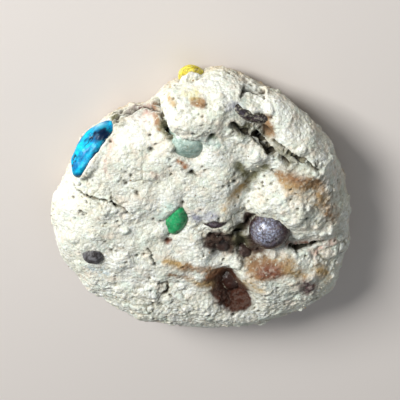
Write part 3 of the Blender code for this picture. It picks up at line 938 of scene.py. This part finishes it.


# edge: how much painted shade darkens a shell where the dough closes over it
candyLooks = {
    "blueCandy": {
        "colour": linear(0, 172, 216), "deep": linear(0, 100, 158), "washed": linear(0, 200, 234),
        "split": linear(5, 24, 50), "frost": linear(158, 214, 232), "frostAmount": 0.05,
        "streaks": 0.75, "dusty": 0.00, "edge": 0.75, "shine": 0.10, "roughness": 0.26,
    },
    "brownCandy": {
        "colour": linear(70, 50, 52), "deep": linear(38, 24, 24), "washed": linear(84, 66, 70),
        "split": linear(26, 17, 16), "frost": linear(154, 162, 184), "frostAmount": 0.85,
        "streaks": 0.3, "dusty": 0.12, "edge": 0.0, "shine": 0.35, "roughness": 0.24,
    },
    "greenCandy": {
        "colour": linear(20, 148, 84), "deep": linear(8, 98, 54), "washed": linear(54, 170, 108),
        "split": linear(14, 44, 28), "frost": linear(72, 180, 124), "frostAmount": 0.35,
        "streaks": 0.5, "dusty": 0.10, "edge": 0.0, "shine": 0.3, "roughness": 0.24,
    },
    "mintCandy": {
        "colour": linear(140, 166, 156), "deep": linear(98, 124, 114), "washed": linear(180, 200, 190),
        "split": linear(112, 124, 108), "frost": linear(200, 216, 208), "frostAmount": 0.6,
        "streaks": 0.6, "dusty": 0.25, "edge": 0.0, "shine": 0.4, "roughness": 0.16,
    },
    "lowBrownCandy": {
        "colour": linear(64, 44, 46), "deep": linear(40, 26, 28), "washed": linear(92, 76, 88),
        "split": linear(30, 18, 17), "frost": linear(116, 116, 134), "frostAmount": 0.45,
        "streaks": 0.6, "dusty": 0.15, "edge": 0.5, "shine": 0.3, "roughness": 0.28,
    },
    "ridgeCandy": {
        "colour": linear(58, 40, 40), "deep": linear(32, 21, 19), "washed": linear(90, 78, 86),
        "split": linear(24, 15, 12), "frost": linear(112, 112, 130), "frostAmount": 0.35,
        "streaks": 0.8, "dusty": 0.45, "edge": 0.9, "shine": 0.3, "roughness": 0.32,
    },
    "yellowCandy": {
        "colour": linear(214, 200, 44), "deep": linear(188, 168, 30), "washed": linear(228, 218, 96),
        "split": linear(130, 112, 40), "frost": linear(234, 228, 130), "frostAmount": 0.2,
        "streaks": 0.4, "dusty": 0.35, "edge": 0.3, "shine": 0.25, "roughness": 0.28,
    },
}


def candyMaterial(name, look):
    material, tree, shader = newMaterial(name + "Shell")
    crackle = placeGroup(tree, sugarCrackle, Size=1.3, Width=0.035)
    colour = tinted(tree, look["deep"], look["colour"], ramp(tree, crackle["Mottle"], 0.36, 0.64))
    colour = tinted(tree, colour, look["washed"], mask(tree, "wash"), 0.6)
    colour = tinted(tree, colour, look["deep"], mask(tree, "streak"), look["streaks"])
    # speckled whitened bloom with painted sheen on the lit side
    dots = ramp(tree, noiseOf(tree, 0.55, 2.0, 0.6), 0.46, 0.60)
    frosting = times(tree, mask(tree, "frost"), doMath(tree, "MULTIPLY_ADD", dots, 0.7, 0.3))
    colour = tinted(tree, colour, look["frost"], frosting, look["frostAmount"])
    colour = tinted(tree, colour, look["split"], crackle["Crackle"], 0.35)
    colour = tinted(tree, colour, look["split"], mask(tree, "split"))
    # painted shade where the dough closes over the shell
    colour = tinted(tree, colour, look["split"], mask(tree, "edge"), look["edge"])
    # painted highlight on the pale spots of a shell, then painted shade on its dark spots
    colour = tinted(tree, colour, look["frost"], mask(tree, "caps"))
    colour = tinted(tree, colour, look["split"], mask(tree, "blots"))
    crumbs = ramp(tree, noiseOf(tree, 0.8, 5.0, 0.65), 0.50, 0.62)
    colour = tinted(tree, colour, doughLook["tan"], crumbs, look["dusty"])
    # a dark line where the shell meets the dough: painted contact shadow with some caramelized sugar, then
    # smears of dough over it
    rim = mask(tree, "smear")
    smear = times(tree, rim, ramp(tree, noiseOf(tree, 0.6, 3.0, 0.6), 0.52, 0.62))
    colour = tinted(tree, colour, look["split"], rim, 0.65)
    colour = tinted(tree, colour, doughLook["tan"], smear, 0.7)
    worn = doMath(tree, "MULTIPLY_ADD", smear, 0.4, look["roughness"])
    bumped(tree, shader, (crackle["Height"], 0.25, 0.10))
    fill(tree, shader, {
        "Base Color": colour,
        "Roughness": doMath(tree, "MULTIPLY_ADD", mask(tree, "split"), 0.4, worn, clamp=True),
        "Specular IOR Level": look["shine"], "Coat Weight": 0.4 * look["shine"], "Coat Roughness": 0.15,
    })
    return material


chocolateLooks = {
    "leftChip": {
        "dark": linear(50, 46, 46), "bloom": linear(118, 118, 122), "bloomFrom": 0.42, "roughness": 0.36,
    },
    "hollowChip": {
        "dark": linear(48, 22, 11), "bloom": linear(76, 44, 29), "bloomFrom": 0.56, "roughness": 0.34,
    },
    "craterChip": {
        "dark": linear(46, 30, 23), "bloom": linear(92, 74, 66), "bloomFrom": 0.50, "roughness": 0.38,
    },
    "foldChip": {
        "dark": linear(48, 32, 25), "bloom": linear(96, 80, 72), "bloomFrom": 0.50, "roughness": 0.38,
    },
}


def chocolateMaterial(name, look):
    material, tree, shader = newMaterial(name + "Chocolate")
    grain = placeGroup(tree, crumbGrain, Size=0.8, Specks=0.3)
    bloom = ramp(tree, noiseOf(tree, 1.2, 5.0, 0.6), look["bloomFrom"], look["bloomFrom"] + 0.2)
    colour = tinted(tree, look["dark"], look["bloom"], bloom, 0.6)
    smear = times(tree, mask(tree, "smear"), ramp(tree, noiseOf(tree, 0.5, 3.0, 0.6), 0.48, 0.6))
    colour = tinted(tree, colour, doughLook["tan"], smear, 0.8)
    bumped(tree, shader, (grain["Height"], 0.6, 0.25))
    fill(tree, shader, {
        "Base Color": colour, "Roughness": doMath(tree, "MULTIPLY_ADD", bloom, 0.25, look["roughness"]),
    })
    return material


crumbLook = {"pale": linear(196, 193, 174), "brown": linear(132, 98, 62), "roughness": 0.85}


def crumbMaterial(look):
    material, tree, shader = newMaterial("looseCrumb")
    grain = placeGroup(tree, crumbGrain, Size=0.35, Specks=0.3)
    browned = ramp(tree, noiseOf(tree, 3.0, 2.0, 0.5), 0.54, 0.66)
    bumped(tree, shader, (grain["Height"], 0.5, 0.12))
    fill(tree, shader, {
        "Base Color": tinted(tree, look["pale"], look["brown"], browned), "Roughness": look["roughness"],
    })
    return material


doughPiece.data.materials.append(doughMaterial(doughLook))
crumbPiece.data.materials.append(crumbMaterial(crumbLook))
for name, piece in candyPieces.items():
    piece.data.materials.append(candyMaterial(name, candyLooks[name]))
for name, piece in chipPieces.items():
    piece.data.materials.append(chocolateMaterial(name, chocolateLooks[name]))
print("materials made")


# Floor, light and camera

studio = {
    "floor": linear(206, 200, 195), "floorSize": 4.0,
    "world": (0.86, 0.89, 0.93, 1.0), "worldStrength": 0.19,
    "key": {"from": (-0.46, 0.42, 0.40), "size": 0.30, "power": 9.2, "colour": (1.0, 0.995, 0.98)},
    "fill": {"from": (0.40, -0.25, 0.50), "size": 0.60, "power": 0.7, "colour": (0.96, 0.98, 1.0)},
}
view = {
    "aim": (-0.15, 2.62, 10.0),  # what the middle of the picture shows
    "lean": 35.0,  # between the line of sight and straight down on the top
    "distance": 315.0,
    "lens": 113.7,
}


def makeStudio(spec):
    # the floor's size and the lamps' places are in metres
    half = spec["floorSize"] / 2
    mesh = bpy.data.meshes.new("floor")
    corners = [(-half, -half, 0), (half, -half, 0), (half, half, 0), (-half, half, 0)]
    mesh.from_pydata(corners, [], [(0, 1, 2, 3)])
    floor = bpy.data.objects.new("floor", mesh)
    floor.location.z = -0.05 * mm
    bpy.context.scene.collection.objects.link(floor)
    material, tree, shader = newMaterial("paleFloor")
    fill(tree, shader, {"Base Color": spec["floor"], "Roughness": 0.6})
    mesh.materials.append(material)
    for name in ("key", "fill"):
        lamp = spec[name]
        light = bpy.data.lights.new(name, "AREA")
        light.size = lamp["size"]
        light.energy = lamp["power"]
        light.color = lamp["colour"]
        holder = bpy.data.objects.new(name, light)
        holder.location = lamp["from"]
        holder.rotation_euler = (-Vector(lamp["from"])).to_track_quat("-Z", "Y").to_euler()
        bpy.context.scene.collection.objects.link(holder)
    world = bpy.data.worlds.new("softWorld")
    world.use_nodes = True
    sky = world.node_tree.nodes["Background"]
    sky.inputs["Color"].default_value = spec["world"]
    sky.inputs["Strength"].default_value = spec["worldStrength"]
    bpy.context.scene.world = world
    bpy.context.scene.view_settings.view_transform = "Standard"


def makeCamera(spec):
    # the picture's top is the cookie's +Y edge, so the camera leans over that edge, rolled to keep it on top
    lean = math.radians(spec["lean"])
    back = Vector((0.0, math.sin(lean), math.cos(lean)))
    up = Vector((0.0, math.cos(lean), -math.sin(lean)))
    camera = bpy.data.cameras.new("camera")
    camera.lens = spec["lens"]
    camera.clip_start = 0.01
    holder = bpy.data.objects.new("camera", camera)
    turn = Matrix((up.cross(back), up, back)).transposed().to_4x4()
    holder.matrix_world = Matrix.Translation(Vector(spec["aim"]) * mm + back * spec["distance"] * mm) @ turn
    bpy.context.scene.collection.objects.link(holder)
    bpy.context.scene.camera = holder


makeStudio(studio)
makeCamera(view)
print("studio ready")
